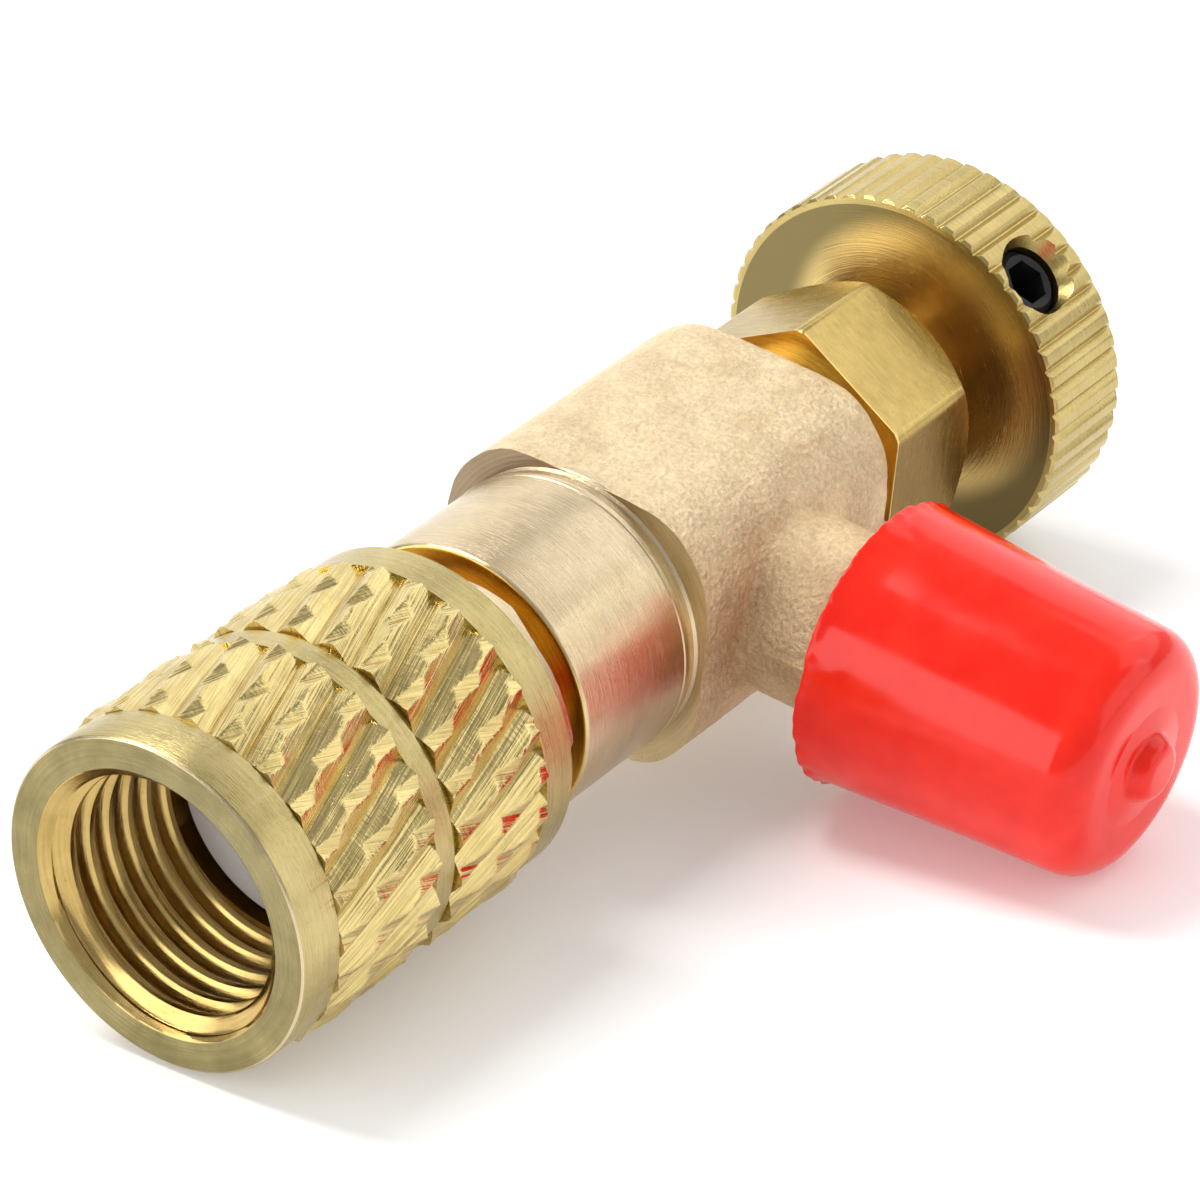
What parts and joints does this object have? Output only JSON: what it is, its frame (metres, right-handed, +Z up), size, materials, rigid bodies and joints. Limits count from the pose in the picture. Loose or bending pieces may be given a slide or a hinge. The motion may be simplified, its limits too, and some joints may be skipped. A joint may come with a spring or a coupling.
{
  "type": "refrigerant charging control valve",
  "caption": "Brass charging valve for air conditioning: knurled swivel nut, forged body with a capped side port, hexagon bonnet and a knurled hand wheel that drives a depressor pin.",
  "frame": {"origin": "centre of the footprint, on the level surface that the valve lies on", "axes": "+Z up from that surface, +X along the main axis from the nut's mouth to the hand wheel as seen from above; the side port points along -Y, sloping down a little"},
  "size_m": [0.0622, 0.0368, 0.0193],
  "materials": {
    "machined_brass": "machined and knurled, satin to bright",
    "forged_brass": "blasted forging, fine matt grain",
    "copper_washer": "flat annealed ring",
    "spring_steel": "drawn wire",
    "black_steel": "black oxide, slightly oily",
    "gasket_white": "smooth fluoropolymer",
    "seal_rubber": "smooth, lightly oiled",
    "red_vinyl": "glossy dipped or moulded vinyl"
  },
  "bodies": {
    "body": {"valve_body": "forged_brass", "bonnet": "machined_brass", "bonnet_seal_washer": "copper_washer", "face_gasket": "gasket_white"},
    "nut_ring": {"nut_retaining_ring": "spring_steel"},
    "nut": {"swivel_nut": "machined_brass"},
    "depressor": {"depressor_pin": "machined_brass"},
    "stem": {"valve_stem": "machined_brass", "stem_o_ring_inner": "seal_rubber", "stem_o_ring_outer": "seal_rubber", "hand_wheel": "machined_brass", "set_screw": "black_steel"},
    "cap": {"port_cap": "red_vinyl"}
  },
  "joints": [
    {"name": "nut_float", "type": "slide", "parent": "body", "child": "nut_ring", "axis": [0.9997, 0, 0.0236], "range_m": [0, 0.0012]},
    {"name": "nut_spin", "type": "hinge", "parent": "nut_ring", "child": "nut", "pos_m": [-0.02121, 0.0088, 0.00847], "axis": [0.9997, 0, 0.0236], "continuous": true},
    {"name": "stem_travel", "type": "slide", "parent": "body", "child": "depressor", "axis": [-0.9997, 0, -0.0236], "range_m": [0, 0.0022]},
    {"name": "wheel_turn", "type": "hinge", "parent": "depressor", "child": "stem", "pos_m": [0.01703, 0.0088, 0.00937], "axis": [-0.9997, 0, -0.0236], "range_deg": [0, 792]},
    {"name": "cap_pull", "type": "slide", "parent": "body", "child": "cap", "axis": [0.003, -0.9916, -0.129], "range_m": [0, 0.016]}
  ],
  "couplings": [
    {"joint": "wheel_turn", "follows": "stem_travel", "rad_per_m": 6283.2}
  ]
}
